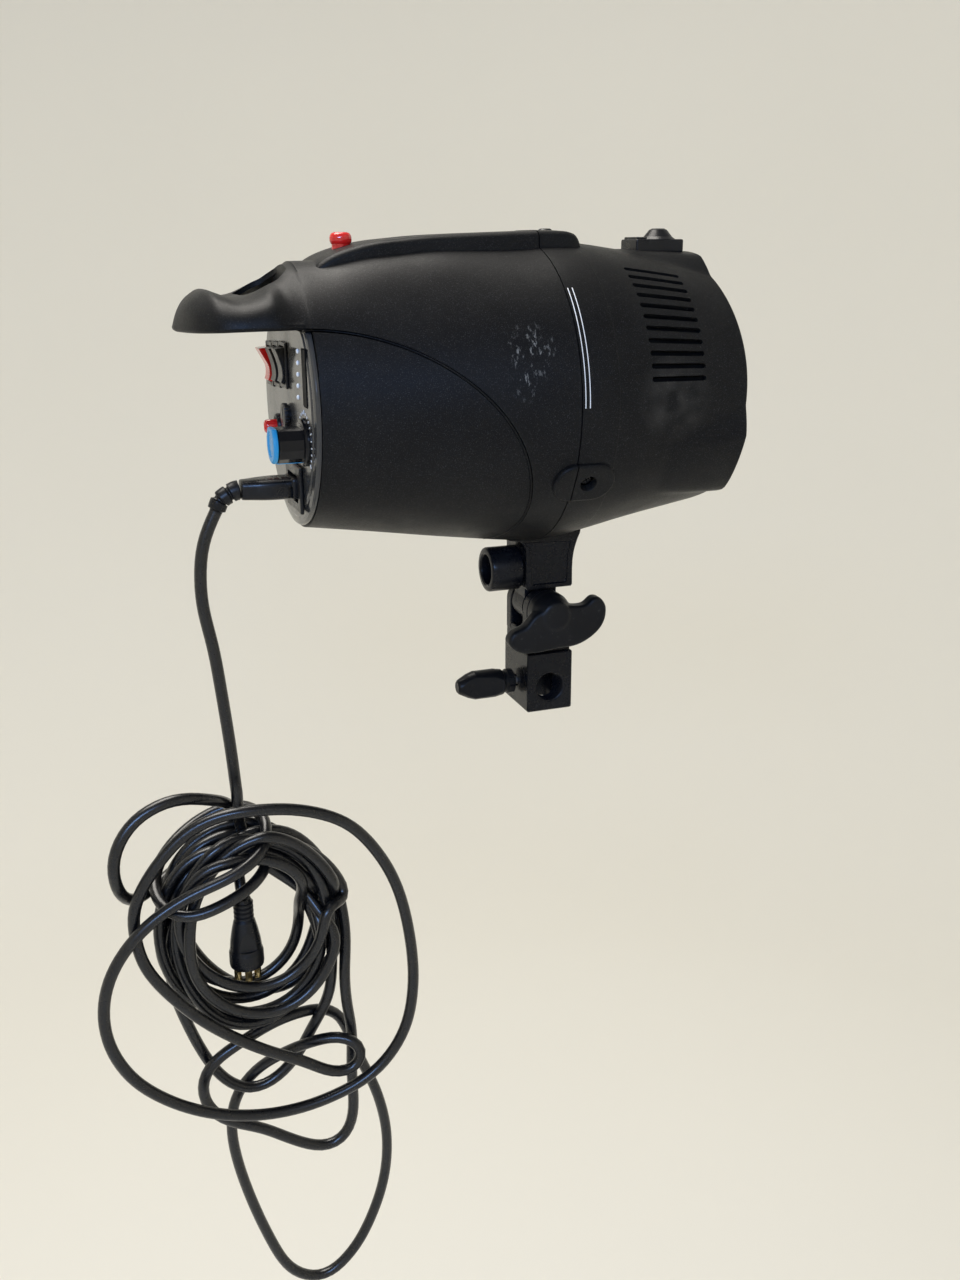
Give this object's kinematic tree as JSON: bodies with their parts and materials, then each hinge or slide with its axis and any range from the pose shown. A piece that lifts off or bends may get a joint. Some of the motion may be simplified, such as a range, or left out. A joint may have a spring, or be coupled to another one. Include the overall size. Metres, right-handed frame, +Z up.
{
  "type": "monolight strobe",
  "caption": "Studio monolight flash head in a black barrel casing, on a tilting stand bracket with an umbrella tube, its mains lead tied up in a bundle.",
  "frame": {"origin": "centre of the mouth of the stand socket, on the underside of the stand block", "axes": "+Z up along the stand socket, +X along the level barrel towards the flash tube, +Y to the right-hand side of the head seen from its control panel"},
  "size_m": [0.3508, 0.1496, 0.598],
  "materials": {
    "casing_plastic": "fine-grained matt black",
    "panel_plastic": "glossy grey",
    "control_black": "satin black",
    "switch_red": "glossy translucent red",
    "knob_blue": "satin bright blue",
    "grip_plastic": "charcoal, slightly rough",
    "bracket_metal": "satin black coating",
    "steel": "plain steel",
    "copper_winding": "varnished winding",
    "transformer_core": "varnished core and winding",
    "aluminium": "satin",
    "circuit_board": "green board",
    "ceramic": "off-white",
    "glass": "clear, slightly frosted",
    "capacitor_sleeve": "dark blue shrink sleeve",
    "cord_jacket": "glossy black jacket"
  },
  "bodies": {
    "bracket": {"stand_block": "bracket_metal", "pivot_bolt": "steel", "pivot_nut": "steel", "friction_washer_left": "steel", "friction_washer_right": "steel"},
    "head": {"rear_upper_shell": "casing_plastic", "rear_lower_shell": "casing_plastic", "front_shell": "casing_plastic", "rear_panel": "panel_plastic", "power_rocker_frame": "control_black", "lamp_rocker_frame": "control_black", "sound_rocker_frame": "control_black", "test_button_bezel": "control_black", "fuse_holder": "control_black", "indicator_window": "control_black", "mains_inlet": "control_black", "mains_connector": "control_black", "strain_relief": "control_black", "shell_screw_left": "control_black", "shell_screw_right": "control_black", "top_screw_cap": "control_black", "slave_cell": "control_black", "slave_dome": "switch_red", "bracket_foot": "bracket_metal", "umbrella_tube": "bracket_metal", "lock_spring": "steel", "foot_screw_rear": "steel", "foot_screw_front": "steel", "power_potentiometer": "steel", "trigger_transformer": "copper_winding", "charging_transformer": "transformer_core", "accessory_mount_plate": "aluminium", "inner_chassis": "aluminium", "power_board": "circuit_board", "control_board": "circuit_board", "tube_base": "ceramic", "lamp_socket": "ceramic", "flash_tube": "glass", "glass_cover": "glass", "modelling_lamp": "glass", "capacitor_left": "capacitor_sleeve", "capacitor_right": "capacitor_sleeve"},
    "handle": {"tilt_handle": "grip_plastic"},
    "lock_knob": {"stand_lock_knob": "grip_plastic", "stand_lock_screw": "steel"},
    "dial": {"power_knob": "control_black", "knob_cap": "knob_blue"},
    "power_key": {"power_rocker_key": "switch_red"},
    "lamp_key": {"lamp_rocker_key": "control_black"},
    "sound_key": {"sound_rocker_key": "control_black"},
    "test_key": {"test_button": "switch_red"},
    "fuse_carrier": {"fuse_cap": "control_black"},
    "accessory_lock": {"lock_slider": "control_black", "lock_latch": "steel"},
    "cord": {"cord_drop": "cord_jacket", "cord_bundle": "cord_jacket", "cord_loop_front": "cord_jacket", "cord_loop_low": "cord_jacket", "cord_loop_middle": "cord_jacket", "mains_plug": "control_black"}
  },
  "joints": [
    {"name": "head_tilt", "type": "hinge", "parent": "bracket", "child": "head", "pos_m": [-0.002, 0, 0.0565], "axis": [0, -1, 0], "range_deg": [-35, 70]},
    {"name": "tilt_handle_turn", "type": "hinge", "parent": "bracket", "child": "handle", "pos_m": [-0.002, 0, 0.0565], "axis": [0, -1, 0], "range_deg": [0, 270]},
    {"name": "stand_lock_turn", "type": "hinge", "parent": "bracket", "child": "lock_knob", "pos_m": [-0.0152, 0, 0.0135], "axis": [1, 0, 0], "range_deg": [0, 540]},
    {"name": "power_rocker", "type": "hinge", "parent": "head", "child": "power_key", "pos_m": [-0.133, 0.033, 0.185], "axis": [0, 1, 0], "range_deg": [0, 14]},
    {"name": "lamp_rocker", "type": "hinge", "parent": "head", "child": "lamp_key", "pos_m": [-0.133, 0.0165, 0.186], "axis": [0, 1, 0], "range_deg": [0, 14]},
    {"name": "sound_rocker", "type": "hinge", "parent": "head", "child": "sound_key", "pos_m": [-0.133, 0.0005, 0.187], "axis": [0, 1, 0], "range_deg": [0, 14]},
    {"name": "power_dial", "type": "hinge", "parent": "head", "child": "dial", "pos_m": [-0.1318, -0.037, 0.1555], "axis": [1, 0, 0], "range_deg": [-135, 135]},
    {"name": "test_press", "type": "slide", "parent": "head", "child": "test_key", "axis": [1, 0, 0], "range_m": [0, 0.0025], "stiffness_N_per_m": 300},
    {"name": "fuse_turn", "type": "hinge", "parent": "head", "child": "fuse_carrier", "pos_m": [-0.1318, -0.003, 0.1635], "axis": [1, 0, 0], "range_deg": [0, 90]},
    {"name": "accessory_lock_slide", "type": "slide", "parent": "head", "child": "accessory_lock", "axis": [-1, 0, 0], "range_m": [0, 0.005], "stiffness_N_per_m": 400, "deforming": ["lock_spring"]},
    {"name": "cord_swing", "type": "hinge", "parent": "head", "child": "cord", "pos_m": [-0.1724, -0.014, 0.1188], "axis": [0, -1, 0], "range_deg": [-70, 35]}
  ],
  "couplings": [
    {"joint": "cord_swing", "follows": "head_tilt", "ratio": -1}
  ]
}
